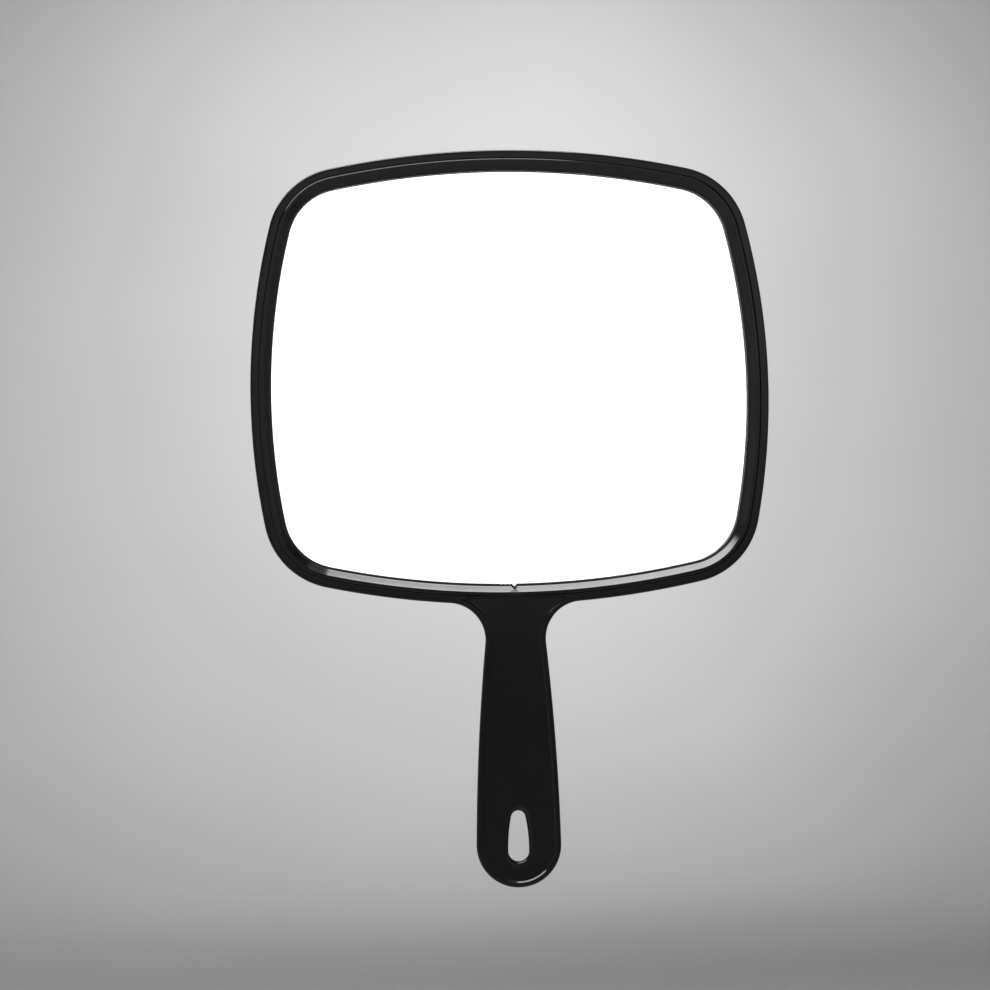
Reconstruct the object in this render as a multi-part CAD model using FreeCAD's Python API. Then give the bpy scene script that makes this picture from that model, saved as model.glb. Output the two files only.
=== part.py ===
"""Salon hand mirror: a rounded-square mirror held in a moulded plastic frame with a flat paddle handle.

The mirror stands upright with its handle down. X runs across it, +Z up and the glass looks towards -Y.
The origin is the middle of the grip. Heights named below are measured up from the handle's end, and
insets are measured inwards from the frame's silhouette, at right angles to it.

On the bench it comes apart, front to back, into: retaining_bezel, mirror_glass, silver_coat,
front_frame, backing_board, foam_pads and rear_shell.
"""
import FreeCAD, Part
import math
import os

# ---- silhouette -------------------------------------------------------------------------------
LENGTH = 315.0              # handle's end to the top of the head
HEAD_WIDTH = 222.4
HEAD_BOTTOM = 120.5         # height of the head's lowest point, on the centre line
WIDEST_HEIGHT = 211.0       # where the head is widest
TOP_RADIUS = 375.0
SIDE_RADIUS = 290.0
BOTTOM_RADIUS = 380.0
CORNER_RADIUS = 33.0
NECK_WIDTH = 26.0
NECK_HEIGHT = 104.0
NECK_FILLET = 16.0
HANDLE_SIDE_RADIUS = 1000.0
HANDLE_END_RADIUS = 18.1
GRIP_HEIGHT = 55.0          # the origin's height above the handle's end

# ---- depth, front to back along Y ---------------------------------------------------------------
FRONT = -6.0                # face of the frame's outer band
BACK = 6.0                  # flat back of the rear shell
PARTING = 2.5               # where the two shells meet
GLASS_THICKNESS = 2.0
COAT_THICKNESS = 0.2
LEDGE_FRONT = -1.0          # the glass, with its coat, is seated on this plane
LEDGE_THICKNESS = 2.0
GLASS_BACK = LEDGE_FRONT - COAT_THICKNESS
GLASS_FRONT = GLASS_BACK - GLASS_THICKNESS

# ---- walls and clearances ------------------------------------------------------------------------
WALL = 2.4                  # side walls of both shells
SKIN = 2.0                  # front skin of the handle and back wall of the rear shell
BAND = 3.5                  # width of the outer band around the bezel
LEDGE_INSET = 12.0          # inner edge of the ledge behind the glass
GLASS_INSET = 5.2
COAT_INSET = 5.6
BOARD_INSET = 12.4
GLASS_SEAM = 0.4            # ground chamfer on the glass's edges
FRONT_EDGE_RADIUS = 1.0
BACK_EDGE_RADIUS = 2.6
DRAFT_FRONT = -4.5          # the side walls are upright down to here, then lean in towards the back
DRAFT_INSET = 0.75          # how far they have leaned in at the back
LAP_WIDTH = 1.2             # the rear shell's lip is lapped inside the front frame's wall
LAP_DEPTH = 1.5
LAP_CLEARANCE = 0.05

# ---- retaining bezel -----------------------------------------------------------------------------
BEZEL_FRONT = -6.6          # stands 0.6 proud of the outer band
BEZEL_CLEARANCE = 0.05
BEZEL_LAND_INSET = 5.2      # the flat land ends here and the bevel starts
BEZEL_LIP_INSET = 7.8       # the bevel ends here and the thin lip starts
BEZEL_INNER_INSET = 8.8
BEZEL_LIP_FRONT = -4.0
BEZEL_SKIRT_INSET = 4.9
BEZEL_SKIRT_BACK = -1.4
BEZEL_GAP = 0.3             # the ring's two ends, at the bottom on the centre line
BEZEL_EDGE = 0.6            # softening of the ring's outer edge, in two chamfers
BEZEL_SHOULDER = 0.2        # the corner between those chamfers, measured from the sharp corner
BEZEL_LIP_EDGE = 0.2
SNAP_MIDDLE = -2.2          # bead round the skirt that snaps into a groove in the frame
SNAP_HALF_WIDTH = 0.5
SNAP_HEIGHT = 0.3
SNAP_CLEARANCE = 0.1

# ---- handle --------------------------------------------------------------------------------------
DISH_INSET = 2.6
DISH_DEPTH = 0.75
DISH_HEAD_OVERLAP = 2.4     # the dish runs this far up into the head's band, below the bezel
RIB_THICKNESS = 1.5
RIB_HEIGHTS = (45.0, 62.0, 79.0, 96.0)
RIB_BACK = 0.5
BOSS_HEIGHTS = (53.5, 87.5)
BOSS_RADIUS = 3.2
PEG_RADIUS = 1.6
PEG_CLEARANCE = 0.03
PEG_FRONT = -1.5
BOSS_BACK = 2.0
CAVITY_HEAD_GAP = 1.5       # plastic left between the handle's cavity and the head's silhouette

# ---- hang slot -----------------------------------------------------------------------------------
SLOT_BOTTOM = 10.9
SLOT_TOP = 32.5
SLOT_LOW_RADIUS = 4.45
SLOT_HIGH_RADIUS = 3.1
SLOT_SIDE_RADIUS = 70.0
SLOT_FLARE = 1.9            # the slot is this much wider all round at the back than at the front
SLOT_SLEEVE = 3.4           # from the slot's front outline to the outside of the sleeve round it
SLOT_FRONT_EDGE_RADIUS = 1.8
SLOT_BACK_EDGE_RADIUS = 0.9

# ---- foam pads -----------------------------------------------------------------------------------
PAD_SIZE = 32.0
PAD_CORNER = 3.0
PAD_OFFSET_X = 62.0
PAD_OFFSET_Z = 46.0

# ---- working margins -----------------------------------------------------------------------------
OVERCUT = 1.0               # cutting shapes run this far past the face that they cut
OVERLAP = 0.5               # fused shapes are sunk this far into each other
NEAR = 0.1
PLANE_TOLERANCE = 1e-4

HALF_TURN = math.pi
Y_AXIS = FreeCAD.Vector(0, 1, 0)


def point(x, height, y):
    """A point from its height above the handle's end."""
    return FreeCAD.Vector(x, y, height - GRIP_HEIGHT)


def circles_meet(centre_a, radius_a, centre_b, radius_b):
    """The right-hand one of the two points that lie on both circles."""
    dx = centre_b[0] - centre_a[0]
    dh = centre_b[1] - centre_a[1]
    span = math.hypot(dx, dh)
    along = (radius_a ** 2 - radius_b ** 2 + span ** 2) / (2 * span)
    across = math.sqrt(radius_a ** 2 - along ** 2)
    foot = (centre_a[0] + dx * along / span, centre_a[1] + dh * along / span)
    first = (foot[0] - dh * across / span, foot[1] + dx * across / span)
    second = (foot[0] + dh * across / span, foot[1] - dx * across / span)
    return max(first, second)


def bearing(centre, target):
    """The angle of target as seen from centre, from +X towards up."""
    return math.atan2(target[1] - centre[1], target[0] - centre[0])


def mirrored(arcs):
    """The same arcs on the left of the centre line, in the order that closes the loop."""
    flipped = []
    for (x, height), radius, start, end, side in reversed(arcs):
        flipped.append(((-x, height), radius, HALF_TURN - end, HALF_TURN - start, side))
    return flipped


def silhouette_arcs():
    """The head's closed loop and the whole frame's closed loop, both clockwise from the top centre.

    An arc is (centre, radius, start angle, end angle, side), where side is 1 if the plastic lies
    inside the arc's circle and -1 at the neck fillets, where it lies outside. Neighbours are tangent.
    """
    top = (0.0, LENGTH - TOP_RADIUS)
    side = (HEAD_WIDTH / 2 - SIDE_RADIUS, WIDEST_HEIGHT)
    bottom = (0.0, HEAD_BOTTOM + BOTTOM_RADIUS)
    end = (0.0, HANDLE_END_RADIUS)
    inner_side = SIDE_RADIUS - CORNER_RADIUS
    high_corner = circles_meet(top, TOP_RADIUS - CORNER_RADIUS, side, inner_side)
    low_corner = circles_meet(bottom, BOTTOM_RADIUS - CORNER_RADIUS, side, inner_side)
    mirror_neck = (-NECK_WIDTH / 2, NECK_HEIGHT)
    far_side = circles_meet(mirror_neck, HANDLE_SIDE_RADIUS, end, HANDLE_SIDE_RADIUS - HANDLE_END_RADIUS)
    handle = (-far_side[0], far_side[1])
    fillet = circles_meet(bottom, BOTTOM_RADIUS + NECK_FILLET, handle, HANDLE_SIDE_RADIUS + NECK_FILLET)

    up = HALF_TURN / 2
    head_half = [
        (top, TOP_RADIUS, up, bearing(top, high_corner), 1),
        (high_corner, CORNER_RADIUS, bearing(top, high_corner), bearing(side, high_corner), 1),
        (side, SIDE_RADIUS, bearing(side, high_corner), bearing(side, low_corner), 1),
        (low_corner, CORNER_RADIUS, bearing(side, low_corner), bearing(bottom, low_corner), 1),
    ]
    head_bottom = (bottom, BOTTOM_RADIUS, bearing(bottom, low_corner), -up, 1)
    neck_end = bearing(bottom, fillet)
    handle_half = [
        (bottom, BOTTOM_RADIUS, bearing(bottom, low_corner), neck_end, 1),
        (fillet, NECK_FILLET, neck_end + HALF_TURN, bearing(handle, fillet) + HALF_TURN, -1),
        (handle, HANDLE_SIDE_RADIUS, bearing(handle, fillet), bearing(handle, end), 1),
        (end, HANDLE_END_RADIUS, bearing(handle, end), -up, 1),
    ]
    head_right = head_half + [head_bottom]
    frame_right = head_half + handle_half
    return head_right + mirrored(head_right), frame_right + mirrored(frame_right)


def slot_arcs():
    """The hang slot's loop: a teardrop, wide end down, with gently bowed sides."""
    low = (0.0, SLOT_BOTTOM + SLOT_LOW_RADIUS)
    high = (0.0, SLOT_TOP - SLOT_HIGH_RADIUS)
    bow = circles_meet(low, SLOT_SIDE_RADIUS - SLOT_LOW_RADIUS, high, SLOT_SIDE_RADIUS - SLOT_HIGH_RADIUS)
    side = (-bow[0], bow[1])
    up = HALF_TURN / 2
    right = [
        (high, SLOT_HIGH_RADIUS, up, bearing(side, high), 1),
        (side, SLOT_SIDE_RADIUS, bearing(side, high), bearing(side, low), 1),
        (low, SLOT_LOW_RADIUS, bearing(side, low), -up, 1),
    ]
    return right + mirrored(right)


HEAD, FRAME = silhouette_arcs()
SLOT = slot_arcs()


def on_arc(arc, angle, inset, y):
    """The point at an angle on an arc that is moved inwards by inset."""
    (x, height), radius, _, _, side = arc
    reach = radius - side * inset
    return point(x + reach * math.cos(angle), height + reach * math.sin(angle), y)


def plate(arcs, inset, y_front, y_back):
    """A flat plate with the loop's outline, moved inwards by inset."""
    edges = []
    for arc in arcs:
        start, end = arc[2], arc[3]
        ends = [on_arc(arc, angle, inset, y_front) for angle in (start, (start + end) / 2, end)]
        edges.append(Part.Arc(*ends).toShape())
    face = Part.Face(Part.Wire(edges))
    return face.extrude(FreeCAD.Vector(0, y_back - y_front, 0))


def ring(arcs, inset_outer, inset_inner, y_front, y_back):
    """A flat ring between two insets of one loop."""
    outer = plate(arcs, inset_outer, y_front, y_back)
    return outer.cut(plate(arcs, inset_inner, y_front, y_back))


def swept(arcs, profile):
    """A ring with one cross-section all the way round, made of one turned piece for each arc.

    The profile is a closed list of (inset, y) corners.
    """
    pieces = []
    for arc in arcs:
        (x, height), start, end = arc[0], arc[2], arc[3]
        corners = [on_arc(arc, start, inset, y) for inset, y in profile]
        face = Part.Face(Part.makePolygon(corners + corners[:1]))
        turn = -math.degrees(end - start)
        pieces.append(face.revolve(point(x, height, 0), Y_AXIS, turn))
    return pieces[0].multiFuse(pieces[1:]).removeSplitter()


def drafted(body):
    """The body with its side walls leaning in towards the back."""
    back = BACK + OVERCUT
    lean = DRAFT_INSET * (back - DRAFT_FRONT) / (BACK - DRAFT_FRONT)
    outside = [(-OVERCUT, DRAFT_FRONT), (0, DRAFT_FRONT), (lean, back), (-OVERCUT, back)]
    return body.cut(swept(FRAME, outside))


def edges_at(shape, y):
    """The edges that lie wholly in the plane at y."""
    found = []
    for edge in shape.Edges:
        box = edge.BoundBox
        if abs(box.YMin - y) < PLANE_TOLERANCE and abs(box.YMax - y) < PLANE_TOLERANCE:
            found.append(edge)
    return found


def turned_pin(height, radius, y_front, y_back):
    """A round pin along Y on the centre line."""
    return Part.makeCylinder(radius, y_back - y_front, point(0, height, y_front), Y_AXIS)


def grip_plate(inset, head_gap, y_front, y_back):
    """The handle's part of the frame's outline, down from head_gap below the head."""
    whole = plate(FRAME, inset, y_front, y_back)
    return whole.cut(plate(HEAD, -head_gap, y_front - OVERCUT, y_back + OVERCUT))


def with_soft_slot(shape, face_y, edge_radius):
    """The shape with the flared hang slot cut through it and the slot's edge rounded at one face."""
    front, back = FRONT + DISH_DEPTH, BACK
    flare_back = -SLOT_FLARE * (1 + OVERCUT / (back - front))
    flare = [
        (OVERLAP, front - OVERCUT),
        (0, front - OVERCUT),
        (0, front),
        (flare_back, back + OVERCUT),
        (OVERLAP, back + OVERCUT),
    ]
    opened = shape.cut(plate(SLOT, 0, FRONT - OVERCUT, BACK + OVERCUT)).cut(swept(SLOT, flare))
    reach = SLOT_LOW_RADIUS + SLOT_FLARE + NEAR
    low = point(0, SLOT_BOTTOM - SLOT_FLARE - NEAR, 0).z
    high = point(0, SLOT_TOP + SLOT_FLARE + NEAR, 0).z
    near_slot = []
    for edge in edges_at(opened, face_y):
        box = edge.BoundBox
        if box.XMin > -reach and box.XMax < reach and box.ZMin > low and box.ZMax < high:
            near_slot.append(edge)
    return opened.makeFillet(edge_radius, near_slot)


def handle_cavity(y_front, y_back):
    """The space inside the handle's walls, with the hang slot's sleeve standing in it."""
    space = grip_plate(WALL, CAVITY_HEAD_GAP, y_front, y_back)
    return space.cut(plate(SLOT, -SLOT_SLEEVE, y_front - OVERCUT, y_back + OVERCUT))


def front_frame():
    """The head's rim and the handle's front, moulded in one, with the ledge that the glass sits on."""
    body = plate(FRAME, 0, FRONT, PARTING)
    body = drafted(body.makeFillet(FRONT_EDGE_RADIUS, edges_at(body, FRONT)))
    dish_floor = FRONT + DISH_DEPTH
    body = body.cut(grip_plate(DISH_INSET, -DISH_HEAD_OVERLAP, FRONT - OVERCUT, dish_floor))

    ledge_back = LEDGE_FRONT + LEDGE_THICKNESS
    groove_mouth = BAND + NEAR
    groove_floor = BAND - SNAP_HEIGHT - SNAP_CLEARANCE
    groove_half = SNAP_HALF_WIDTH + SNAP_CLEARANCE
    groove = [
        (groove_mouth, SNAP_MIDDLE - groove_half),
        (groove_floor, SNAP_MIDDLE),
        (groove_mouth, SNAP_MIDDLE + groove_half),
    ]
    body = body.cut(plate(HEAD, BAND, FRONT - OVERCUT, LEDGE_FRONT))
    body = body.cut(swept(HEAD, groove))
    body = body.cut(plate(HEAD, LEDGE_INSET, LEDGE_FRONT - OVERCUT, PARTING + OVERCUT))
    body = body.cut(plate(HEAD, WALL, ledge_back, PARTING + OVERCUT))

    skin_back = dish_floor + SKIN
    cavity = handle_cavity(skin_back, PARTING + OVERCUT)
    for height in RIB_HEIGHTS:
        corner = point(-HEAD_WIDTH / 2, height - RIB_THICKNESS / 2, skin_back)
        rib = Part.makeBox(HEAD_WIDTH, RIB_BACK - skin_back, RIB_THICKNESS, corner)
        cavity = cavity.cut(rib)
    for height in BOSS_HEIGHTS:
        cavity = cavity.cut(turned_pin(height, BOSS_RADIUS, skin_back, BOSS_BACK))
    body = body.cut(cavity)
    for height in BOSS_HEIGHTS:
        socket_front = PEG_FRONT - LAP_CLEARANCE
        body = body.cut(turned_pin(height, PEG_RADIUS + PEG_CLEARANCE, socket_front, PARTING + OVERCUT))

    body = body.cut(ring(FRAME, LAP_WIDTH, WALL, PARTING - LAP_DEPTH, PARTING + OVERCUT))
    return with_soft_slot(body, dish_floor, SLOT_FRONT_EDGE_RADIUS)


def rear_shell():
    """The flat back of the head and handle in one, with a lip that laps inside the front frame."""
    body = drafted(plate(FRAME, 0, PARTING, BACK))
    body = body.makeFillet(BACK_EDGE_RADIUS, edges_at(body, BACK))
    wall_front = BACK - SKIN
    body = body.cut(plate(HEAD, WALL, PARTING - OVERCUT, wall_front))
    body = body.cut(handle_cavity(PARTING - OVERCUT, wall_front))
    lip_front = PARTING - LAP_DEPTH + LAP_CLEARANCE
    body = body.fuse(ring(FRAME, LAP_WIDTH + LAP_CLEARANCE, WALL, lip_front, PARTING + OVERLAP))
    for height in BOSS_HEIGHTS:
        body = body.fuse(turned_pin(height, PEG_RADIUS, PEG_FRONT, wall_front + OVERLAP))
    return with_soft_slot(body, BACK, SLOT_BACK_EDGE_RADIUS).removeSplitter()


def retaining_bezel():
    """The split ring that snaps in front of the glass: land, inward bevel, thin lip and skirt."""
    outer = BAND + BEZEL_CLEARANCE
    profile = [
        (outer, BEZEL_FRONT + BEZEL_EDGE),
        (outer + BEZEL_SHOULDER, BEZEL_FRONT + BEZEL_SHOULDER),
        (outer + BEZEL_EDGE, BEZEL_FRONT),
        (BEZEL_LAND_INSET, BEZEL_FRONT),
        (BEZEL_LIP_INSET, BEZEL_LIP_FRONT),
        (BEZEL_INNER_INSET - BEZEL_LIP_EDGE, BEZEL_LIP_FRONT),
        (BEZEL_INNER_INSET, BEZEL_LIP_FRONT + BEZEL_LIP_EDGE),
        (BEZEL_INNER_INSET, GLASS_FRONT),
        (BEZEL_SKIRT_INSET, GLASS_FRONT),
        (BEZEL_SKIRT_INSET, BEZEL_SKIRT_BACK),
        (outer, BEZEL_SKIRT_BACK),
        (outer, SNAP_MIDDLE + SNAP_HALF_WIDTH),
        (outer - SNAP_HEIGHT, SNAP_MIDDLE),
        (outer, SNAP_MIDDLE - SNAP_HALF_WIDTH),
    ]
    whole = swept(HEAD, profile)
    gap_corner = point(-BEZEL_GAP / 2, HEAD_BOTTOM, BEZEL_FRONT - OVERCUT)
    gap_depth = BEZEL_SKIRT_BACK - BEZEL_FRONT + 2 * OVERCUT
    gap = Part.makeBox(BEZEL_GAP, gap_depth, 2 * BEZEL_INNER_INSET, gap_corner)
    return whole.cut(gap)


def mirror_glass():
    """The sheet of float glass, with its edges ground."""
    sheet = plate(HEAD, GLASS_INSET, GLASS_FRONT, GLASS_BACK)
    rims = edges_at(sheet, GLASS_FRONT) + edges_at(sheet, GLASS_BACK)
    return sheet.makeChamfer(GLASS_SEAM, rims)


def silver_coat():
    """The silvering on the back of the glass, with the paint that protects it."""
    return plate(HEAD, COAT_INSET, GLASS_BACK, LEDGE_FRONT)


def backing_board():
    """The stiff board that fills the ledge's window behind the glass."""
    return plate(HEAD, BOARD_INSET, LEDGE_FRONT, LEDGE_FRONT + LEDGE_THICKNESS)


def foam_pads():
    """Adhesive foam squares, one in the middle and one towards each corner, that press on the board."""
    middle = (LENGTH + HEAD_BOTTOM) / 2
    places = [(0.0, middle)]
    for across in (-PAD_OFFSET_X, PAD_OFFSET_X):
        for up in (-PAD_OFFSET_Z, PAD_OFFSET_Z):
            places.append((across, middle + up))
    pads = []
    y_front = LEDGE_FRONT + LEDGE_THICKNESS
    thickness = BACK - SKIN - y_front
    for x, height in places:
        corner = point(x - PAD_SIZE / 2, height - PAD_SIZE / 2, y_front)
        pad = Part.makeBox(PAD_SIZE, thickness, PAD_SIZE, corner)
        upright = [edge for edge in pad.Edges if edge.BoundBox.YLength > thickness / 2]
        pads.append(pad.makeFillet(PAD_CORNER, upright))
    return Part.makeCompound(pads)


PARTS = (
    front_frame,
    rear_shell,
    retaining_bezel,
    mirror_glass,
    silver_coat,
    backing_board,
    foam_pads,
)

os.makedirs("parts", exist_ok=True)
for make in PARTS:
    shape = make()
    shape.exportStep(f"parts/{make.__name__}.step")
    print(f"{make.__name__}: {len(shape.Solids)} solids, {shape.Volume / 1000:.2f} cm3, {shape.isValid()}")
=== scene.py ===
"""Looks of the salon hand mirror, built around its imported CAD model.

The mirror stands upright with its handle down, its glass towards -Y. The three plastic mouldings and the
silver coat are rebuilt here as closed meshes on the same outline and depths as the CAD parts, with finely
rounded edges on the mouldings. The glass, the backing board and the foam pads are the CAD nodes with better
materials.

Outline sizes are in millimetres and are turned into metres as each point is made.
"""

import math

import bmesh
import bpy
from mathutils import Matrix, Vector
from mathutils.geometry import delaunay_2d_cdt


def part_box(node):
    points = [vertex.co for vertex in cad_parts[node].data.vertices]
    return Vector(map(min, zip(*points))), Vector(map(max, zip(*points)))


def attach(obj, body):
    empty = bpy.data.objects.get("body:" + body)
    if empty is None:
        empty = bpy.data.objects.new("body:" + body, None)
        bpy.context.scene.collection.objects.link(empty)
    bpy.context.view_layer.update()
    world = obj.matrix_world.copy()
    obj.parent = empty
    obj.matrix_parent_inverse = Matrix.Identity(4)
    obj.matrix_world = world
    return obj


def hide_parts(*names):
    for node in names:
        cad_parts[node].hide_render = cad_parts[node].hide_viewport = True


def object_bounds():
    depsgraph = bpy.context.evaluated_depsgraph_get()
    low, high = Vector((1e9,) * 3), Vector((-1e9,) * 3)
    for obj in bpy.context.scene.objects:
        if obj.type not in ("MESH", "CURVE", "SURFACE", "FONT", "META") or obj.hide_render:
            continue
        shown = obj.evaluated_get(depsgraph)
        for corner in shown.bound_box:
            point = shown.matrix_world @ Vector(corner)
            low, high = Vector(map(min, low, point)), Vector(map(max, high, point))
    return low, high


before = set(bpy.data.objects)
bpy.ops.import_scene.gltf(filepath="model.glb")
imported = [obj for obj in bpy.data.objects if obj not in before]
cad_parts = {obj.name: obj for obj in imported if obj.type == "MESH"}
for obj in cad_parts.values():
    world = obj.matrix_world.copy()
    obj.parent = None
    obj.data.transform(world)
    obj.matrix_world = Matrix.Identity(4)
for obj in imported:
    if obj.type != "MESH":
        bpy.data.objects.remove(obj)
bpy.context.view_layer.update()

MM = 0.001
HALF_TURN = math.pi
FULL_TURN = 2 * HALF_TURN
UP = HALF_TURN / 2

# ---- sizes read from the frame, in millimetres ---------------------------------------------------
FRAME_LOW, FRAME_HIGH = (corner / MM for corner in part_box("front_frame"))
BEZEL_LOW, BEZEL_HIGH = (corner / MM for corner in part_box("retaining_bezel"))
SHELL_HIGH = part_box("rear_shell")[1] / MM
GLASS_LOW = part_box("mirror_glass")[0] / MM
COAT_LOW, COAT_HIGH = (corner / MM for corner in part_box("silver_coat"))

HANDLE_END = FRAME_LOW.z            # heights are measured up from here
LENGTH = FRAME_HIGH.z - FRAME_LOW.z
HEAD_WIDTH = FRAME_HIGH.x - FRAME_LOW.x
FRONT = FRAME_LOW.y
PARTING = FRAME_HIGH.y
BACK = SHELL_HIGH.y
BEZEL_FRONT = BEZEL_LOW.y
BEZEL_BACK = BEZEL_HIGH.y
GLASS_FRONT = GLASS_LOW.y
LEDGE_FRONT = COAT_HIGH.y

# ---- the outline's arcs, in millimetres ----------------------------------------------------------
HEAD_BOTTOM = 120.5
WIDEST_HEIGHT = 211.0
TOP_RADIUS = 375.0
SIDE_RADIUS = 290.0
BOTTOM_RADIUS = 380.0
CORNER_RADIUS = 33.0
NECK_WIDTH = 26.0
NECK_HEIGHT = 104.0
NECK_FILLET = 16.0
HANDLE_SIDE_RADIUS = 1000.0
HANDLE_END_RADIUS = 18.1
SLOT_BOTTOM = 10.9
SLOT_TOP = 32.5
SLOT_LOW_RADIUS = 4.45
SLOT_HIGH_RADIUS = 3.1
SLOT_SIDE_RADIUS = 70.0

# ---- mesh fineness -------------------------------------------------------------------------------
LONG_STEP = 2.0                     # along the long arcs, in millimetres
TURN_STEP = math.radians(2.6)       # round the tight arcs
FILL_STEP = 1.5                     # between the points that fill the handle's face
ROW_SPACING = 0.87                  # between the fill's rows, as a share of FILL_STEP
FILL_SPARE = 4                      # rows above the handle, and columns past its neck's width
FILL_MARGIN = 0.3                   # between the fill and the outline's innermost loop
SLOT_MARGIN = 1.0                   # and the slot's rounded edge
RAMP_EASE = 0.25                    # share of a ramp's width that each of its rounded ends takes
FRONT_STEPS = 8                     # round the front frame's outer edge
BAND_INNER_STEPS = 4                # round the edge of the chamber in front
SLOT_STEPS = 9                      # round the slot's edges
BACK_STEPS = 9                      # round the rear shell's edge
ANGLE_TOLERANCE = 1e-9
FILL_TOLERANCE = 1e-7               # of the triangulation, in millimetres
WELD_DISTANCE = 1e-7                # between points that are one, in metres
SHARP_DEGREES = 40.0                # edges that turn more than this are shaded sharp
BEZEL_SHARP_DEGREES = 50.0


def circles_meet(centre_a, radius_a, centre_b, radius_b):
    """The right-hand one of the two points that lie on both circles."""
    dx = centre_b[0] - centre_a[0]
    dh = centre_b[1] - centre_a[1]
    span = math.hypot(dx, dh)
    along = (radius_a ** 2 - radius_b ** 2 + span ** 2) / (2 * span)
    across = math.sqrt(radius_a ** 2 - along ** 2)
    foot = (centre_a[0] + dx * along / span, centre_a[1] + dh * along / span)
    first = (foot[0] - dh * across / span, foot[1] + dx * across / span)
    second = (foot[0] + dh * across / span, foot[1] - dx * across / span)
    return max(first, second)


def bearing(centre, target):
    """The angle of target as seen from centre, from +X towards up."""
    return math.atan2(target[1] - centre[1], target[0] - centre[0])


def mirrored(arcs):
    """The same arcs on the left of the centre line, in the order that closes the loop."""
    flipped = []
    for (x, height), radius, start, end, side in reversed(arcs):
        flipped.append(((-x, height), radius, HALF_TURN - end, HALF_TURN - start, side))
    return flipped


def silhouette_arcs():
    """The head's closed loop and the whole frame's closed loop, both clockwise from the top centre.

    An arc is (centre, radius, start angle, end angle, side), where side is 1 if the plastic lies
    inside the arc's circle and -1 at the neck fillets, where it lies outside. Neighbours are tangent.
    """
    top = (0.0, LENGTH - TOP_RADIUS)
    side = (HEAD_WIDTH / 2 - SIDE_RADIUS, WIDEST_HEIGHT)
    bottom = (0.0, HEAD_BOTTOM + BOTTOM_RADIUS)
    end = (0.0, HANDLE_END_RADIUS)
    inner_side = SIDE_RADIUS - CORNER_RADIUS
    high_corner = circles_meet(top, TOP_RADIUS - CORNER_RADIUS, side, inner_side)
    low_corner = circles_meet(bottom, BOTTOM_RADIUS - CORNER_RADIUS, side, inner_side)
    mirror_neck = (-NECK_WIDTH / 2, NECK_HEIGHT)
    far_side = circles_meet(mirror_neck, HANDLE_SIDE_RADIUS, end, HANDLE_SIDE_RADIUS - HANDLE_END_RADIUS)
    handle = (-far_side[0], far_side[1])
    fillet = circles_meet(bottom, BOTTOM_RADIUS + NECK_FILLET, handle, HANDLE_SIDE_RADIUS + NECK_FILLET)
    head_half = [
        (top, TOP_RADIUS, UP, bearing(top, high_corner), 1),
        (high_corner, CORNER_RADIUS, bearing(top, high_corner), bearing(side, high_corner), 1),
        (side, SIDE_RADIUS, bearing(side, high_corner), bearing(side, low_corner), 1),
        (low_corner, CORNER_RADIUS, bearing(side, low_corner), bearing(bottom, low_corner), 1),
    ]
    head_bottom = (bottom, BOTTOM_RADIUS, bearing(bottom, low_corner), -UP, 1)
    neck_end = bearing(bottom, fillet)
    handle_half = [
        (bottom, BOTTOM_RADIUS, bearing(bottom, low_corner), neck_end, 1),
        (fillet, NECK_FILLET, neck_end + HALF_TURN, bearing(handle, fillet) + HALF_TURN, -1),
        (handle, HANDLE_SIDE_RADIUS, bearing(handle, fillet), bearing(handle, end), 1),
        (end, HANDLE_END_RADIUS, bearing(handle, end), -UP, 1),
    ]
    head_right = head_half + [head_bottom]
    frame_right = head_half + handle_half
    return head_right + mirrored(head_right), frame_right + mirrored(frame_right)


def slot_arcs():
    """The hang slot's loop: a teardrop, wide end down, with gently bowed sides."""
    low = (0.0, SLOT_BOTTOM + SLOT_LOW_RADIUS)
    high = (0.0, SLOT_TOP - SLOT_HIGH_RADIUS)
    bow = circles_meet(low, SLOT_SIDE_RADIUS - SLOT_LOW_RADIUS, high, SLOT_SIDE_RADIUS - SLOT_HIGH_RADIUS)
    side = (-bow[0], bow[1])
    right = [
        (high, SLOT_HIGH_RADIUS, UP, bearing(side, high), 1),
        (side, SLOT_SIDE_RADIUS, bearing(side, high), bearing(side, low), 1),
        (low, SLOT_LOW_RADIUS, bearing(side, low), -UP, 1),
    ]
    return right + mirrored(right)


HEAD, OUTLINE = silhouette_arcs()
SLOT = slot_arcs()


def stations(arcs):
    """(arc, angle) pairs all the way round a closed loop, closer together on the tight arcs."""
    found = []
    for arc in arcs:
        _, radius, start, end, _ = arc
        turn = abs(end - start)
        count = max(2, math.ceil(turn / TURN_STEP), math.ceil(turn * radius / LONG_STEP))
        for step in range(count):
            found.append((arc, start + (end - start) * step / count))
    return found


def offset_loop(arcs, inset):
    """The loop's (x, height) points, moved inwards by inset."""
    points = []
    for ((x, height), radius, _, _, side), angle in stations(arcs):
        reach = radius - side * inset
        points.append((x + reach * math.cos(angle), height + reach * math.sin(angle)))
    return points


def depth_inside(arcs, x, height):
    """How far (x, height) is inside a closed loop of tangent arcs."""
    nearest = math.inf
    for (cx, ch), radius, start, end, side in arcs:
        angle = math.atan2(height - ch, x - cx)
        low, high = min(start, end), max(start, end)
        while angle < low - ANGLE_TOLERANCE:
            angle += FULL_TURN
        while angle > high + FULL_TURN:
            angle -= FULL_TURN
        if angle <= high + ANGLE_TOLERANCE:
            reach = side * (radius - math.hypot(x - cx, height - ch))
            if abs(reach) < abs(nearest):
                nearest = reach
    return nearest


def smooth_step(value):
    """0 below 0, 1 above 1, and smooth between."""
    clamped = min(1.0, max(0.0, value))
    return clamped * clamped * (3 - 2 * clamped)


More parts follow.
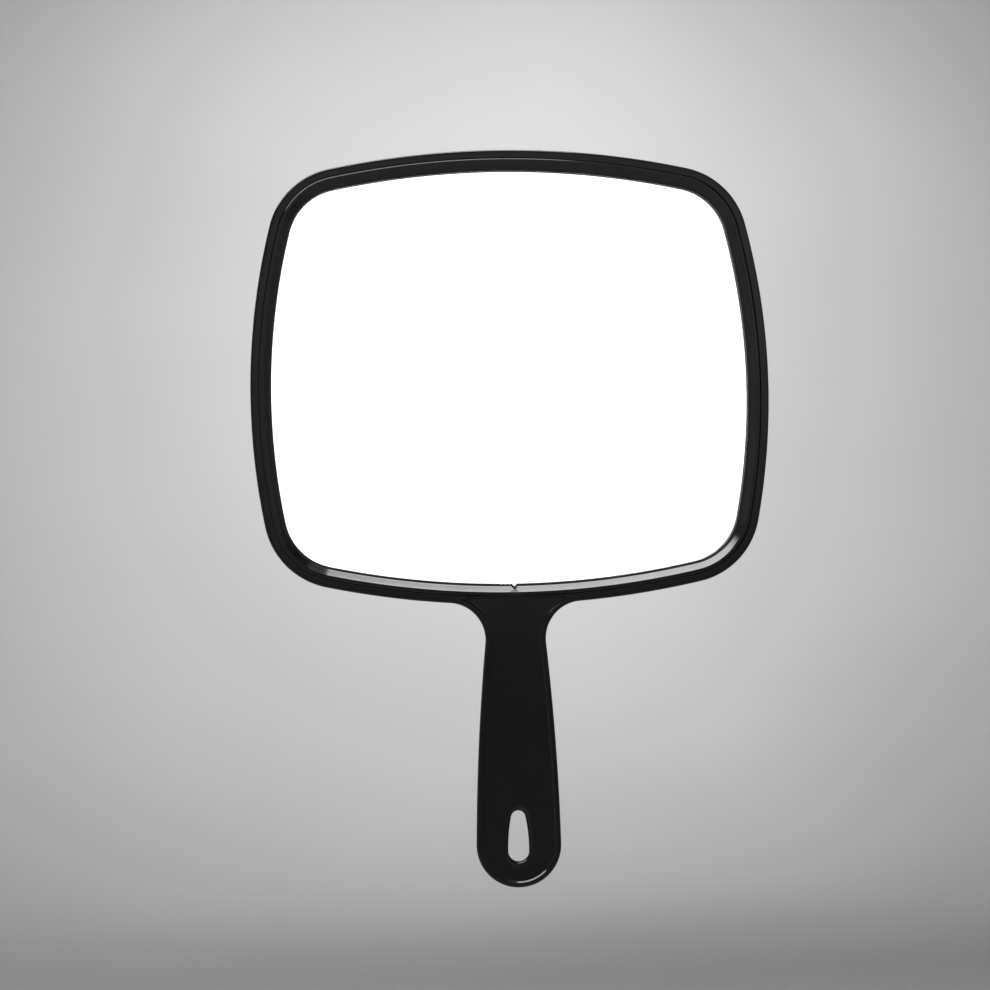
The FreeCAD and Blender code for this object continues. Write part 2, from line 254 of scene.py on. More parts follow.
def eased_ramp(value):
    """0 below 0, 1 above 1, and a straight slope between, eased in and out."""
    clamped = min(1.0, max(0.0, value))
    steepest = 1 / (1 - RAMP_EASE)
    if clamped < RAMP_EASE:
        return steepest * clamped ** 2 / (2 * RAMP_EASE)
    if clamped > 1 - RAMP_EASE:
        return 1 - steepest * (1 - clamped) ** 2 / (2 * RAMP_EASE)
    return steepest * (clamped - RAMP_EASE / 2)


def rounding(width, depth, steps):
    """(inset, set-back) pairs over a quarter-round edge, from the side wall to the face."""
    pairs = []
    for step in range(steps + 1):
        angle = UP * step / steps
        pairs.append((width * (1 - math.cos(angle)), depth * (1 - math.sin(angle))))
    return pairs


def inside_polygon(points, x, height):
    """Whether (x, height) is inside a closed polygon."""
    inside = False
    previous = points[-1]
    for current in points:
        if (current[1] > height) != (previous[1] > height):
            slope = (previous[0] - current[0]) / (previous[1] - current[1])
            if x < current[0] + slope * (height - current[1]):
                inside = not inside
        previous = current
    return inside


class Moulding:
    """Gathers the points and faces of one closed mesh."""

    def __init__(self):
        self.points = []
        self.faces = []

    def add(self, x, height, y):
        """Adds one point and returns its index. Its depth y is a number or a function of (x, height)."""
        depth = y(x, height) if callable(y) else y
        self.points.append((x * MM, depth * MM, (height + HANDLE_END) * MM))
        return len(self.points) - 1

    def loop(self, flat, y):
        """Adds a closed loop of points at depth y."""
        return [self.add(x, height, y) for x, height in flat]

    def bridge(self, first, second):
        """Joins two loops that have the same number of points."""
        count = len(first)
        for i in range(count):
            j = (i + 1) % count
            self.faces.append((first[i], first[j], second[j], second[i]))

    def chain(self, loops):
        """Joins each loop to the next."""
        for first, second in zip(loops, loops[1:]):
            self.bridge(first, second)

    def fill(self, outer, holes, inner_points, y):
        """Fills the region between an outer loop and its holes with triangles.

        outer and holes are (indices, flat points) pairs. inner_points are extra (x, height) points.
        """
        indices = []
        flat = []
        edges = []
        for loop_indices, loop_flat in [outer] + holes:
            start = len(flat)
            count = len(loop_flat)
            indices += loop_indices
            flat += loop_flat
            edges += [(start + i, start + (i + 1) % count) for i in range(count)]
        for x, height in inner_points:
            indices.append(self.add(x, height, y))
            flat.append((x, height))
        vectors = [Vector(point) for point in flat]
        made = delaunay_2d_cdt(vectors, edges, [], 0, FILL_TOLERANCE, True)
        places, triangles, sources = made[0], made[2], made[3]
        for triangle in triangles:
            x = sum(places[i].x for i in triangle) / 3
            height = sum(places[i].y for i in triangle) / 3
            if not inside_polygon(outer[1], x, height):
                continue
            if any(inside_polygon(hole[1], x, height) for hole in holes):
                continue
            self.faces.append(tuple(indices[sources[i][0]] for i in triangle))

    def build(self, name, sharp_degrees=SHARP_DEGREES):
        """Makes the object, with outward normals, smooth faces and sharp edges where it turns hard."""
        mesh = bpy.data.meshes.new(name)
        mesh.from_pydata(self.points, [], self.faces)
        work = bmesh.new()
        work.from_mesh(mesh)
        bmesh.ops.remove_doubles(work, verts=work.verts, dist=WELD_DISTANCE)
        bmesh.ops.recalc_face_normals(work, faces=work.faces)
        for face in work.faces:
            face.smooth = True
        work.to_mesh(mesh)
        work.free()
        mesh.set_sharp_from_angle(angle=math.radians(sharp_degrees))
        made = bpy.data.objects.new(name, mesh)
        bpy.context.scene.collection.objects.link(made)
        return made


# ---- front frame ---------------------------------------------------------------------------------
BAND = 3.5                          # from the silhouette to the bezel's chamber
FRONT_ROUND = 0.9
BAND_INNER_ROUND = 0.22
FACE_INSETS = (1.4, 1.9, 2.0, 2.1, 2.22, 2.43, 2.55, 2.65, 2.75, 3.1)
BEAD_START = 1.9                    # the handle's raised bead drops to its face between these insets
BEAD_END = 2.75
BEAD_HEIGHT = 0.75
LIP_START = 2.3                     # below the bezel the face rises to a lip between these head insets
LIP_END = 3.0
LIP_ROWS = (2.1, 2.3, 2.39, 2.48, 2.58, 2.72, 2.82, 2.91, 3.0, 3.12)
LIP_STEP = 1.0                      # between points along each row
NECK_BLEND = 1.6                    # the bead dies out as the outline joins the head's, over this gap
NECK_TOP = 126.0                    # height above which the whole face is flat
NECK_REACH = 34.0                   # and the distance from the centre line beyond which it is
DISH_END = 8.0                      # the face sinks a little more as far in as this
DISH_DEPTH = 0.12
DRAFT_FRONT = -4.5                  # behind this the side walls lean in, by this much at the back
DRAFT_INSET = 0.75
PARTING_GROOVE = 0.22
WALL = 2.4
LEDGE_INSET = 12.0
LEDGE_THICKNESS = 2.0
SLOT_FRONT_ROUND = 2.0
SLOT_BACK_ROUND = 1.0
SLOT_FLARE = 1.9                    # the slot is this much wider all round at the back
SLOT_THROAT = FRONT + BEAD_HEIGHT + SLOT_FRONT_ROUND


def lean(y):
    """How far the side walls have leaned in at depth y."""
    return DRAFT_INSET * max(0.0, y - DRAFT_FRONT) / (BACK - DRAFT_FRONT)


def dish(x, height):
    """How far the handle's face lies behind the head's outer band."""
    if height > NECK_TOP or (height > HEAD_BOTTOM and abs(x) > NECK_REACH):
        return 0.0
    inset = depth_inside(OUTLINE, x, height)
    head_inset = depth_inside(HEAD, x, height)
    neck = smooth_step((inset - head_inset) / NECK_BLEND)
    lip = eased_ramp((LIP_END - head_inset) / (LIP_END - LIP_START))
    bead = BEAD_HEIGHT * eased_ramp((inset - BEAD_START) / (BEAD_END - BEAD_START))
    return neck * lip * (bead + DISH_DEPTH * smooth_step((inset - BEAD_END) / (DISH_END - BEAD_END)))


def front_face(x, height):
    """Depth of the frame's front face."""
    return FRONT + dish(x, height)


def handle_fill(outer_flat, hole_flat):
    """Points over the handle's face, clear of its edges: a staggered grid, and rows along the lip."""
    points = []
    rows = int(HEAD_BOTTOM / FILL_STEP) + FILL_SPARE
    columns = int(NECK_WIDTH / FILL_STEP) + FILL_SPARE
    for row in range(rows):
        height = row * FILL_STEP * ROW_SPACING
        shift = FILL_STEP / 2 if row % 2 else 0.0
        for column in range(-columns, columns + 1):
            x = column * FILL_STEP + shift
            if not inside_polygon(outer_flat, x, height) or inside_polygon(hole_flat, x, height):
                continue
            if depth_inside(HEAD, x, height) > LIP_ROWS[0] - FILL_STEP / 2:
                continue
            if -depth_inside(SLOT, x, height) < SLOT_FRONT_ROUND + SLOT_MARGIN:
                continue
            points.append((x, height))
    steps = int(NECK_REACH / LIP_STEP)
    for head_inset in LIP_ROWS:
        reach = BOTTOM_RADIUS - head_inset
        for step in range(-steps, steps + 1):
            angle = -UP + step * LIP_STEP / BOTTOM_RADIUS
            points.append((reach * math.cos(angle), HEAD_BOTTOM + BOTTOM_RADIUS + reach * math.sin(angle)))
    return [point for point in points if depth_inside(OUTLINE, *point) > FACE_INSETS[-1] + FILL_MARGIN]


def slot_width(y):
    """How much wider, all round, the slot is at depth y than at its throat."""
    return SLOT_FLARE * (y - SLOT_THROAT) / (BACK - SLOT_THROAT)


def slot_loops(solid, face, sign, radius, wider):
    """The slot's wall and rounded edge. Returns the wall's (loop, flat) pair and the face's."""
    wall_flat = offset_loop(SLOT, -slot_width(PARTING))
    loops = [solid.loop(wall_flat, PARTING)]
    for inset, set_back in rounding(radius, radius, SLOT_STEPS):
        flat = offset_loop(SLOT, -wider - inset)
        loops.append(solid.loop(flat, lambda x, h, back=set_back: face(x, h) + sign * back))
    solid.chain(loops)
    return (loops[0], wall_flat), (loops[-1], flat)


def make_front_frame():
    """The rim and handle front: rounded outer edge, flat band, dished handle, ledge and hang slot."""
    solid = Moulding()
    loops = []
    back_flat = offset_loop(OUTLINE, lean(PARTING) + PARTING_GROOVE)
    back_edge = solid.loop(back_flat, PARTING)
    loops.append(back_edge)
    for y in (PARTING - PARTING_GROOVE, DRAFT_FRONT):
        loops.append(solid.loop(offset_loop(OUTLINE, lean(y)), y))
    for inset, set_back in rounding(FRONT_ROUND, FRONT_ROUND, FRONT_STEPS):
        flat = offset_loop(OUTLINE, inset)
        loops.append(solid.loop(flat, lambda x, h, back=set_back: front_face(x, h) + back))
    for inset in FACE_INSETS:
        flat = offset_loop(OUTLINE, inset)
        loops.append(solid.loop(flat, front_face))
    solid.chain(loops)
    outer = (loops[-1], flat)

    chamber = []
    for inset, set_back in reversed(rounding(BAND_INNER_ROUND, BAND_INNER_ROUND, BAND_INNER_STEPS)):
        chamber_flat = offset_loop(HEAD, BAND - inset)
        chamber.append(solid.loop(chamber_flat, FRONT + set_back))
    ledge_back = LEDGE_FRONT + LEDGE_THICKNESS
    band_hole = (chamber[0], offset_loop(HEAD, BAND - BAND_INNER_ROUND))
    rim_flat = offset_loop(HEAD, WALL)
    for inset, y in (
        (BAND, LEDGE_FRONT),
        (LEDGE_INSET, LEDGE_FRONT),
        (LEDGE_INSET, ledge_back),
        (WALL, ledge_back),
        (WALL, PARTING),
    ):
        chamber.append(solid.loop(offset_loop(HEAD, inset), y))
    solid.chain(chamber)

    slot_wall, slot_front = slot_loops(solid, front_face, 1, SLOT_FRONT_ROUND, 0.0)
    grid = handle_fill(flat, slot_front[1])
    solid.fill(outer, [band_hole, slot_front], grid, front_face)
    solid.fill((back_edge, back_flat), [(chamber[-1], rim_flat), slot_wall], [], PARTING)
    made = solid.build("front_moulding")
    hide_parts("front_frame")
    return made


# ---- rear shell ----------------------------------------------------------------------------------
BACK_ROUND = 3.0
BACK_ROUND_DEPTH = 2.6
BACK_WALL = 2.0
BACK_FACE_STEP = 0.4                # a narrow flat row past the rounded edge


def make_rear_shell():
    """The flat back, with a rounded edge, a hollow head and the other half of the hang slot."""
    solid = Moulding()
    front_flat = offset_loop(OUTLINE, lean(PARTING) + PARTING_GROOVE)
    front_edge = solid.loop(front_flat, PARTING)
    past_groove = PARTING + PARTING_GROOVE
    loops = [front_edge, solid.loop(offset_loop(OUTLINE, lean(past_groove)), past_groove)]
    leaned = lean(BACK - BACK_ROUND_DEPTH)
    for inset, set_back in rounding(BACK_ROUND, BACK_ROUND_DEPTH, BACK_STEPS):
        loops.append(solid.loop(offset_loop(OUTLINE, leaned + inset), BACK - set_back))
    flat = offset_loop(OUTLINE, leaned + BACK_ROUND + BACK_FACE_STEP)
    loops.append(solid.loop(flat, BACK))
    solid.chain(loops)

    wider = slot_width(BACK - SLOT_BACK_ROUND)
    slot_wall, slot_rear = slot_loops(solid, lambda x, h: BACK, -1, SLOT_BACK_ROUND, wider)
    solid.fill((loops[-1], flat), [slot_rear], [], BACK)
    tray_flat = offset_loop(HEAD, WALL)
    tray = [solid.loop(tray_flat, PARTING), solid.loop(tray_flat, BACK - BACK_WALL)]
    solid.chain(tray)
    solid.fill((tray[-1], tray_flat), [], [], BACK - BACK_WALL)
    solid.fill((front_edge, front_flat), [(tray[0], tray_flat), slot_wall], [], PARTING)
    made = solid.build("rear_moulding")
    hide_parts("rear_shell")
    return made


# ---- retaining bezel -----------------------------------------------------------------------------
# Corners of its section as (inset, depth, corner radius), from the outer edge round to the skirt.
LIP_FRONT = -4.0
BEVEL_START = 5.2
BEVEL_END = 7.8
BEVEL_STEPS = 9
BEVEL_MARGIN = 0.1                  # share of the bevel's width kept clear of extra points at each end
INNER_INSET = 8.8
SKIRT_INSET = 4.9
BEZEL_PLAY = 0.08                   # between the ring and the front frame's band
OUTER_SHOULDER = 0.65
LIP_RISE = 0.05
BEZEL_SECTION = (
    (BAND + BEZEL_PLAY, BEZEL_FRONT + OUTER_SHOULDER, 0.08),
    (BAND + OUTER_SHOULDER, BEZEL_FRONT, 0.20),
    (BEVEL_START, BEZEL_FRONT, 0.35),
    (BEVEL_END, LIP_FRONT, 0.30),
    (INNER_INSET, LIP_FRONT + LIP_RISE, 0.22),
    (INNER_INSET, GLASS_FRONT, 0.0),
    (SKIRT_INSET, GLASS_FRONT, 0.0),
    (SKIRT_INSET, BEZEL_BACK, 0.0),
    (BAND + BEZEL_PLAY, BEZEL_BACK, 0.0),
)
BEZEL_GAP = 0.3                     # between the split ring's ends, bottom centre
CORNER_STEPS = 5
CLOSE_STEP = 0.15                   # between stations near the split
CLOSE_REACH = 7.2
NOTCH_FLOOR = 7.7                   # the lip's edge dips to this inset in a V at the split
TROUGH_FLOOR = 6.4                  # and the foot of the bevel to this one
NOTCH_WIDTH = 1.1                   # half the V's width
NICK_START, NICK_END = -6.6, -1.2   # the lip is slightly ragged between these distances from the split
NICK_LENGTH = 1.8
NICK_DEPTH = 0.35
MARK_INSET = 5.3                    # middle of the shallow oval gate mark on the bevel
MARK_HALF_LENGTH = 1.9
MARK_HALF_WIDTH = 0.7
MARK_DEPTH = 0.12
MARK_STEEPNESS = 2                  # its floor is flat over the middle half of the oval's area


def bevel_depth(inset):
    """Depth of the bevel's face, before its ends are rounded."""
    return BEZEL_FRONT + (LIP_FRONT - BEZEL_FRONT) * (inset - BEVEL_START) / (BEVEL_END - BEVEL_START)


def bezel_corners():
    """The section's corners, with more points down the bevel's straight face."""
    corners = list(BEZEL_SECTION[:3])
    for step in range(1, BEVEL_STEPS):
        along = BEVEL_MARGIN + (1 - 2 * BEVEL_MARGIN) * step / BEVEL_STEPS
        inset = BEVEL_START + (BEVEL_END - BEVEL_START) * along
        corners.append((inset, bevel_depth(inset), 0.0))
    return corners + list(BEZEL_SECTION[3:])


def near_split(inset, y, across):
    """A section point's (inset, depth) at this distance from the split: notch, nicks and gate mark."""
    opening = min(1.0, (abs(across) - BEZEL_GAP / 2) / NOTCH_WIDTH)
    limit = NOTCH_FLOOR + (INNER_INSET - NOTCH_FLOOR) * opening
    trough = TROUGH_FLOOR + (BEVEL_END - TROUGH_FLOOR) * opening
    if NICK_START < across < NICK_END:
        turn = FULL_TURN * (across - NICK_START) / NICK_LENGTH
        limit = INNER_INSET - NICK_DEPTH * (1 - math.cos(turn)) / 2
    if opening < 1.0 and inset > trough and y < LIP_FRONT:
        y = LIP_FRONT
    inset = min(inset, limit)
    oval = 1 - (across / MARK_HALF_LENGTH) ** 2 - ((inset - MARK_INSET) / MARK_HALF_WIDTH) ** 2
    if oval > 0 and y < LIP_FRONT:
        y += MARK_DEPTH * min(1.0, MARK_STEEPNESS * oval)
    return inset, y


def rounded_section(corners):
    """The closed section's (inset, y) points, with each corner replaced by an arc of its radius."""
    points = []
    count = len(corners)
    for i, (inset, y, radius) in enumerate(corners):
        here = Vector((inset, y))
        if radius == 0.0:
            points.append((inset, y))
            continue
        before = (Vector(corners[i - 1][:2]) - here).normalized()
        after = (Vector(corners[(i + 1) % count][:2]) - here).normalized()
        half = before.angle(after) / 2
        reach = radius / math.tan(half)
        centre = here + (before + after).normalized() * (radius / math.sin(half))
        start = here + before * reach - centre
        turn = start.angle_signed(here + after * reach - centre)
        for step in range(CORNER_STEPS + 1):
            spoke = start.copy()
            spoke.rotate(Matrix.Rotation(-turn * step / CORNER_STEPS, 2))
            points.append(tuple(centre + spoke))
    return points


def make_bezel():
    """The split ring in front of the glass: rounded land, inward bevel and thin lip."""
    solid = Moulding()
    section = rounded_section(bezel_corners())
    half = len(HEAD) // 2
    first_arc, last_arc = HEAD[half], HEAD[half - 1]
    split_start, split_end = first_arc[2], last_arc[3]
    close = [BEZEL_GAP / 2 + CLOSE_STEP * step for step in range(int(CLOSE_REACH / CLOSE_STEP))]
    route = [(first_arc, split_start - along / BOTTOM_RADIUS) for along in close]
    for arc, angle in stations(HEAD[half:] + HEAD[:half]):
        from_split = min(abs(angle - split_start), abs(angle - split_end)) * BOTTOM_RADIUS
        if arc not in (first_arc, last_arc) or from_split > CLOSE_REACH + LONG_STEP / 4:
            route.append((arc, angle))
    route += [(last_arc, split_end + along / BOTTOM_RADIUS) for along in reversed(close)]
    rings = []
    for ((x, height), radius, _, _, side), angle in route:
        across = x + radius * math.cos(angle)
        at_split = abs(across) < CLOSE_REACH and math.sin(angle) < 0
        ring = []
        for inset, y in section:
            if at_split:
                inset, y = near_split(inset, y, across)
            reach = radius - side * inset
            ring.append(solid.add(x + reach * math.cos(angle), height + reach * math.sin(angle), y))
        rings.append(ring)
    solid.chain(rings)
    solid.faces.append(tuple(rings[0]))
    solid.faces.append(tuple(reversed(rings[-1])))
    made = solid.build("bezel_ring", BEZEL_SHARP_DEGREES)
    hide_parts("retaining_bezel")
    return made


# ---- silver coat ---------------------------------------------------------------------------------
COAT_GAP = 0.01                     # keeps the coat's face clear of the glass's back face
COAT_INSET = 5.6


def make_silver():
    """The silvering and its paint, a hair behind the glass."""
    solid = Moulding()
    flat = offset_loop(HEAD, COAT_INSET)
    front_loop = solid.loop(flat, COAT_LOW.y + COAT_GAP)
    back_loop = solid.loop(flat, COAT_HIGH.y)
    solid.bridge(front_loop, back_loop)
    solid.faces.append(tuple(front_loop))
    solid.faces.append(tuple(reversed(back_loop)))
    made = solid.build("silvering")
    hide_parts("silver_coat")
    return made


# ---- materials -----------------------------------------------------------------------------------
# Colours as linear (red, green, blue): each surface varies between its dark and its light one.
GLOSS_DARK, GLOSS_LIGHT = (0.0045, 0.0050, 0.0048), (0.0070, 0.0076, 0.0074)
SATIN_DARK, SATIN_LIGHT = (0.0065, 0.0066, 0.0064), (0.0110, 0.0112, 0.0108)
SILVER_DARK, SILVER_LIGHT = (0.955, 0.960, 0.955), (0.970, 0.972, 0.968)
BOARD_DARK, BOARD_LIGHT = (0.30, 0.25, 0.19), (0.42, 0.35, 0.27)
FOAM_DARK, FOAM_LIGHT = (0.62, 0.62, 0.60), (0.80, 0.80, 0.78)
STAGE_DARK, STAGE_LIGHT = (0.40, 0.40, 0.40), (0.42, 0.42, 0.42)
GLASS_TINT = (0.97, 0.995, 0.985, 1.0)
# Roughness, from where the surface is cleanest to where it is most handled.
FRAME_ROUGHNESS = (0.11, 0.18)
BEZEL_ROUGHNESS = (0.10, 0.16)
REAR_ROUGHNESS = (0.34, 0.44)
GLASS_ROUGHNESS = (0.0, 0.02)
BOARD_ROUGHNESS = 0.90
FOAM_ROUGHNESS = 0.95
STAGE_ROUGHNESS = 0.85
# Bump strength, and its height in metres.
PLASTIC_WAVES = (0.25, 0.0002)
PLASTIC_GRAIN = (0.12, 0.00003)
BOARD_FIBRES = (0.4, 0.0001)
FOAM_CELLS = (0.5, 0.0002)
PLASTIC_IOR = 1.5
PLASTIC_SPECULAR = 0.5
GLASS_IOR = 1.52


def new_material(name):
    """An empty node material: its tree and its Principled shader."""
    material = bpy.data.materials.new(name)
    material.use_nodes = True
    tree = material.node_tree
    return material, tree, tree.nodes["Principled BSDF"]


def noise(tree, scale, detail=3.0, roughness=0.5, stretch=(1.0, 1.0, 1.0)):
    """A noise texture in the object's own coordinates, in metres."""
    place = tree.nodes.new("ShaderNodeTexCoord")
    mapping = tree.nodes.new("ShaderNodeMapping")
    mapping.inputs["Scale"].default_value = stretch
    texture = tree.nodes.new("ShaderNodeTexNoise")
    texture.inputs["Scale"].default_value = scale
    texture.inputs["Detail"].default_value = detail
    texture.inputs["Roughness"].default_value = roughness
    tree.links.new(place.outputs["Object"], mapping.inputs["Vector"])
    tree.links.new(mapping.outputs["Vector"], texture.inputs["Vector"])
    return texture.outputs["Fac"]


def ramp(tree, source, low, high, low_value, high_value):
    """Maps a source between low and high to a value or a colour."""
    if isinstance(low_value, tuple):
        node = tree.nodes.new("ShaderNodeValToRGB")
        node.color_ramp.elements[0].position = low
        node.color_ramp.elements[1].position = high
        node.color_ramp.elements[0].color = (*low_value, 1.0)
        node.color_ramp.elements[1].color = (*high_value, 1.0)
        tree.links.new(source, node.inputs["Fac"])
        return node.outputs["Color"]
    node = tree.nodes.new("ShaderNodeMapRange")
    node.inputs["From Min"].default_value = low
    node.inputs["From Max"].default_value = high
    node.inputs["To Min"].default_value = low_value
    node.inputs["To Max"].default_value = high_value
    tree.links.new(source, node.inputs["Value"])
    return node.outputs["Result"]


def bump(tree, shader, layers):
    """Adds bump layers, each (source, strength, distance in metres), to a shader's normal."""
    normal = None
    for source, strength, distance in layers:
        node = tree.nodes.new("ShaderNodeBump")
        node.inputs["Strength"].default_value = strength
        node.inputs["Distance"].default_value = distance
        tree.links.new(source, node.inputs["Height"])
        if normal is not None:
            tree.links.new(normal, node.inputs["Normal"])
        normal = node.outputs["Normal"]
    tree.links.new(normal, shader.inputs["Normal"])


def black_plastic(name, dark, light, smooth, rough):
    """Moulded ABS: near black, with faint flow marks, handling haze and a fine moulded waviness.

    smooth and rough are the two ends of its roughness.
    """
    material, tree, shader = new_material(name)
    flow = noise(tree, 22.0, detail=4.0, roughness=0.55, stretch=(1.0, 1.0, 0.35))
    haze = noise(tree, 90.0, detail=5.0, roughness=0.6)
    grain = noise(tree, 2600.0, detail=2.0)
    waves = noise(tree, 60.0, detail=1.0, roughness=0.4)
    colour = ramp(tree, flow, 0.3, 0.75, dark, light)
    tree.links.new(colour, shader.inputs["Base Color"])
    tree.links.new(ramp(tree, haze, 0.3, 0.8, smooth, rough), shader.inputs["Roughness"])
    bump(tree, shader, ((waves, *PLASTIC_WAVES), (grain, *PLASTIC_GRAIN)))
    shader.inputs["IOR"].default_value = PLASTIC_IOR
    shader.inputs["Specular IOR Level"].default_value = PLASTIC_SPECULAR
    return material


def glass_material():
    """Clear float glass, with the faintest dust on its surface."""
    material, tree, shader = new_material("float_glass")
    shader.inputs["Base Color"].default_value = GLASS_TINT
    shader.inputs["Transmission Weight"].default_value = 1.0
    shader.inputs["IOR"].default_value = GLASS_IOR
    dust = noise(tree, 300.0, detail=4.0, roughness=0.6)
    tree.links.new(ramp(tree, dust, 0.55, 0.9, *GLASS_ROUGHNESS), shader.inputs["Roughness"])
    return material


def silver_material():
    """Silvering, seen through the glass."""
    material, tree, shader = new_material("silvering")
    shader.inputs["Metallic"].default_value = 1.0
    tone = noise(tree, 6.0, detail=2.0)
    colour = ramp(tree, tone, 0.2, 0.8, SILVER_DARK, SILVER_LIGHT)
    tree.links.new(colour, shader.inputs["Base Color"])
    shader.inputs["Roughness"].default_value = 0.0
    return material


def board_material():
    """Grey-brown greyboard, with fibres."""
    material, tree, shader = new_material("greyboard")
    fibres = noise(tree, 900.0, detail=4.0, roughness=0.7, stretch=(1.0, 1.0, 0.3))
    colour = ramp(tree, fibres, 0.3, 0.7, BOARD_DARK, BOARD_LIGHT)
    tree.links.new(colour, shader.inputs["Base Color"])
    shader.inputs["Roughness"].default_value = BOARD_ROUGHNESS
    bump(tree, shader, ((fibres, *BOARD_FIBRES),))
    return material


def foam_material():
    """White closed-cell foam."""
    material, tree, shader = new_material("adhesive_foam")
    cells = noise(tree, 1500.0, detail=2.0)
    colour = ramp(tree, cells, 0.3, 0.7, FOAM_DARK, FOAM_LIGHT)
    tree.links.new(colour, shader.inputs["Base Color"])
    shader.inputs["Roughness"].default_value = FOAM_ROUGHNESS
    bump(tree, shader, ((cells, *FOAM_CELLS),))
    return material


def wear(node, material):
    """Gives a CAD node a material on its own slots."""
    node.data.materials.clear()
    node.data.materials.append(material)


# ---- camera, light and stage ---------------------------------------------------------------------
CAMERA_DISTANCE = 1.0
CAMERA_TARGET = Vector((-0.0075, 0.0, 0.11237))
CAMERA_AZIMUTH = math.radians(-4.7)
CAMERA_ELEVATION = math.radians(-1.0)
CAMERA_ROLL = math.radians(-0.9)
CAMERA_LENS = 84.76
FLOOR_DROP = 0.21                   # the floor lies this far below the handle's end
FLOOR_RADIUS = 1.30
FLOOR_RINGS = 6
SWEEP_RADIUS = 0.80                 # of the curve from the floor up into the wall
SWEEP_STEPS = 24
WALL_TOP = 2.4                      # above the floor
STAGE_TURNS = 128                   # steps round the stage
SURROUND_GREY = (0.15, 0.15, 0.15, 1.0)
WIDE_OPEN = 180.0                   # spread of a light with no beam, in degrees
# Each light's name, size, place, target, brightness and spread. A softbox overhead, with a fainter one
# round it, and lights on the walls behind, in front and at the sides.
LIGHTS = (
    ("top_softbox", (1.26, 0.34), (-0.47, -0.05, 1.00), (-0.47, -0.04, 0.00), 11.0, WIDE_OPEN),
    ("softbox_halo", (1.70, 0.62), (-0.33, -0.05, 1.02), (-0.33, -0.04, 0.00), 0.8, WIDE_OPEN),
    ("backdrop_wash", (0.60, 0.40), (0.12, 1.35, 0.68), (0.12, 2.10, 0.24), 12.2, 170.0),
    ("front_wash", (1.60, 0.40), (0.45, -1.35, 0.50), (0.45, -2.10, 0.46), 1.7, 85.0),
    ("side_wash", (0.90, 0.40), (-1.35, 0.00, 0.80), (-2.10, 0.00, 0.40), 5.0, WIDE_OPEN),
    ("side_wash", (0.90, 0.40), (1.35, 0.00, 0.80), (2.10, 0.00, 0.40), 5.0, WIDE_OPEN),
)
# The white surface that the glass mirrors.
WHITE_PANEL = ("white_panel", (1.60, 1.30), (0.00, -1.45, 0.44), (0.00, 0.00, 0.44), 1.3, WIDE_OPEN)


def make_camera():
    """Looks at the front, a little from the mirror's -X side, and leans slightly."""
    azimuth, elevation = CAMERA_AZIMUTH, CAMERA_ELEVATION
    forward = Vector((
        -math.sin(azimuth) * math.cos(elevation),
        math.cos(azimuth) * math.cos(elevation),
        -math.sin(elevation),
    ))
    right = Vector((math.cos(azimuth), math.sin(azimuth), 0.0))
    up = right.cross(forward)
    leaning_right = right * math.cos(CAMERA_ROLL) + up * math.sin(CAMERA_ROLL)
    leaning_up = up * math.cos(CAMERA_ROLL) - right * math.sin(CAMERA_ROLL)
    turned = Matrix((leaning_right, leaning_up, -forward)).transposed().to_4x4()
    camera = bpy.data.objects.new("camera", bpy.data.cameras.new("camera"))
    camera.data.lens = CAMERA_LENS
    camera.matrix_world = Matrix.Translation(CAMERA_TARGET - forward * CAMERA_DISTANCE) @ turned
    bpy.context.scene.collection.objects.link(camera)
    bpy.context.scene.camera = camera


def area_light(name, size, place, target, glow, spread):
    """A rectangular softbox at place, facing target. A narrower spread, in degrees, makes a beam."""
    data = bpy.data.lights.new(name, "AREA")
    data.shape = "RECTANGLE"
    data.size, data.size_y = size
    data.energy = glow * math.pi * size[0] * size[1]
    data.spread = math.radians(spread)
    light = bpy.data.objects.new(name, data)
    direction = Vector(target) - Vector(place)
    light.rotation_euler = direction.to_track_quat("-Z", "Y").to_euler()
    light.location = place
    light.visible_camera = False
    bpy.context.scene.collection.objects.link(light)
    return light


def shine_only_on(light, pieces):
    """Keeps a light off everything but these pieces."""
    group = bpy.data.collections.new(light.name + "_receivers")
    for piece in pieces:
        group.objects.link(piece)
    light.light_linking.receiver_collection = group


def make_lights(reflecting):
    """The studio's lights, a white panel that only these pieces mirror, and a grey surround."""
    for light in LIGHTS:
        area_light(*light)
    shine_only_on(area_light(*WHITE_PANEL), reflecting)
    world = bpy.data.worlds.new("studio")
    world.use_nodes = True
    world.node_tree.nodes["Background"].inputs["Color"].default_value = SURROUND_GREY
    bpy.context.scene.world = world
    bpy.context.scene.view_settings.view_transform = "Standard"


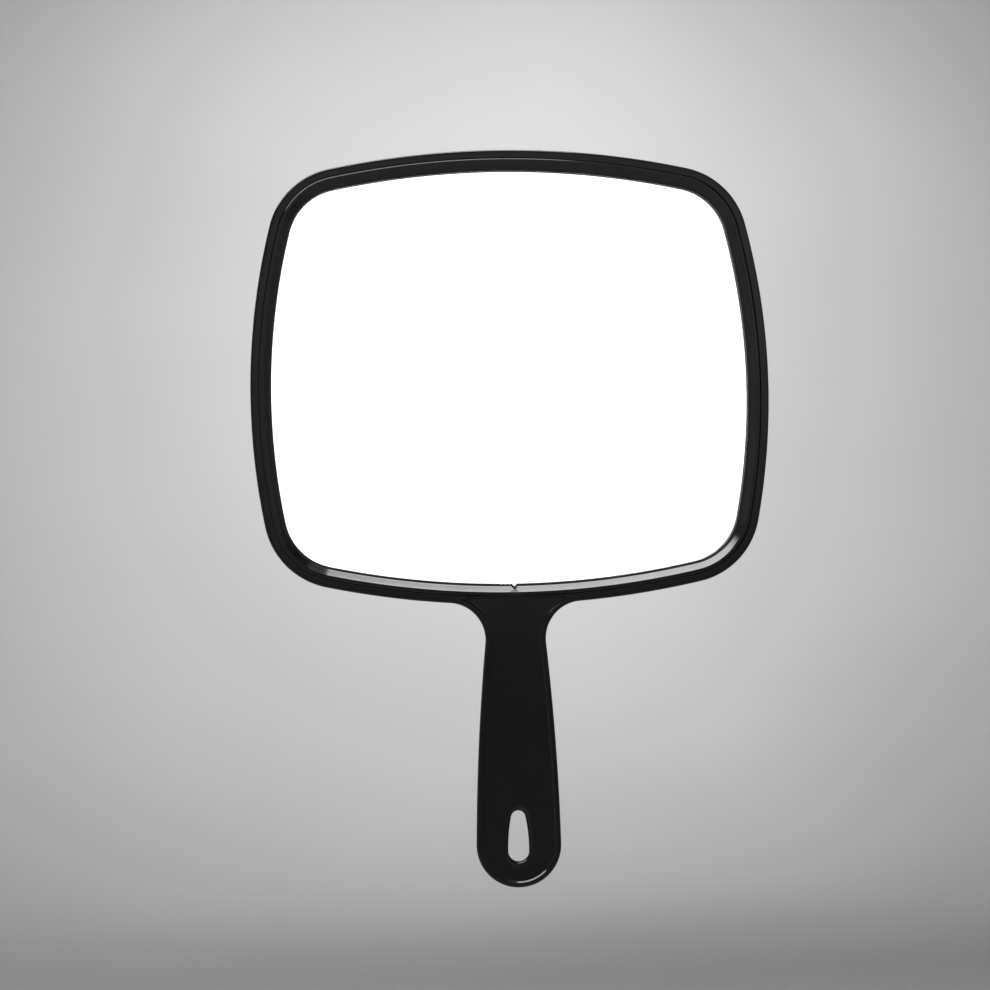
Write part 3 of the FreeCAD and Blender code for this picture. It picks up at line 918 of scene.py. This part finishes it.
def make_stage():
    """A pale round floor that sweeps up into a pale wall all round."""
    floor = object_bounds()[0].z - FLOOR_DROP
    section = [(FLOOR_RADIUS * (step + 1) / FLOOR_RINGS, floor) for step in range(FLOOR_RINGS)]
    for step in range(SWEEP_STEPS):
        angle = UP * (step + 1) / SWEEP_STEPS
        section.append((
            FLOOR_RADIUS + SWEEP_RADIUS * math.sin(angle),
            floor + SWEEP_RADIUS * (1 - math.cos(angle)),
        ))
    section.append((FLOOR_RADIUS + SWEEP_RADIUS, floor + WALL_TOP))
    points = [(0.0, 0.0, floor)]
    for radius, z in section:
        for turn in range(STAGE_TURNS):
            angle = FULL_TURN * turn / STAGE_TURNS
            points.append((radius * math.cos(angle), radius * math.sin(angle), z))
    faces = [(0, 1 + turn, 1 + (turn + 1) % STAGE_TURNS) for turn in range(STAGE_TURNS)]
    for ring in range(len(section) - 1):
        start = 1 + ring * STAGE_TURNS
        for turn in range(STAGE_TURNS):
            after = (turn + 1) % STAGE_TURNS
            above = start + STAGE_TURNS
            faces.append((start + turn, above + turn, above + after, start + after))
    studio = stage_object("studio_sweep", points, faces)
    material, tree, shader = new_material("pale_sweep")
    tone = noise(tree, 3.0, detail=2.0)
    colour = ramp(tree, tone, 0.3, 0.7, STAGE_DARK, STAGE_LIGHT)
    tree.links.new(colour, shader.inputs["Base Color"])
    shader.inputs["Roughness"].default_value = STAGE_ROUGHNESS
    studio.data.materials.append(material)


def stage_object(name, points, faces):
    """A smooth mesh that is part of the stage and not of the object."""
    mesh = bpy.data.meshes.new(name)
    mesh.from_pydata(points, [], faces)
    for face in mesh.polygons:
        face.use_smooth = True
    made = bpy.data.objects.new(name, mesh)
    bpy.context.scene.collection.objects.link(made)
    return made


# ---- the object ----------------------------------------------------------------------------------
BODY = "root"
front = make_front_frame()
rear = make_rear_shell()
bezel = make_bezel()
silver = make_silver()
front.data.materials.append(black_plastic("frame_abs", GLOSS_DARK, GLOSS_LIGHT, *FRAME_ROUGHNESS))
bezel.data.materials.append(black_plastic("bezel_abs", GLOSS_DARK, GLOSS_LIGHT, *BEZEL_ROUGHNESS))
rear.data.materials.append(black_plastic("rear_abs", SATIN_DARK, SATIN_LIGHT, *REAR_ROUGHNESS))
silver.data.materials.append(silver_material())
for piece in (front, rear, bezel, silver):
    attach(piece, BODY)
wear(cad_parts["mirror_glass"], glass_material())
wear(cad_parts["backing_board"], board_material())
wear(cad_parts["foam_pads"], foam_material())

make_camera()
make_lights([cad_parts["mirror_glass"], silver])
make_stage()
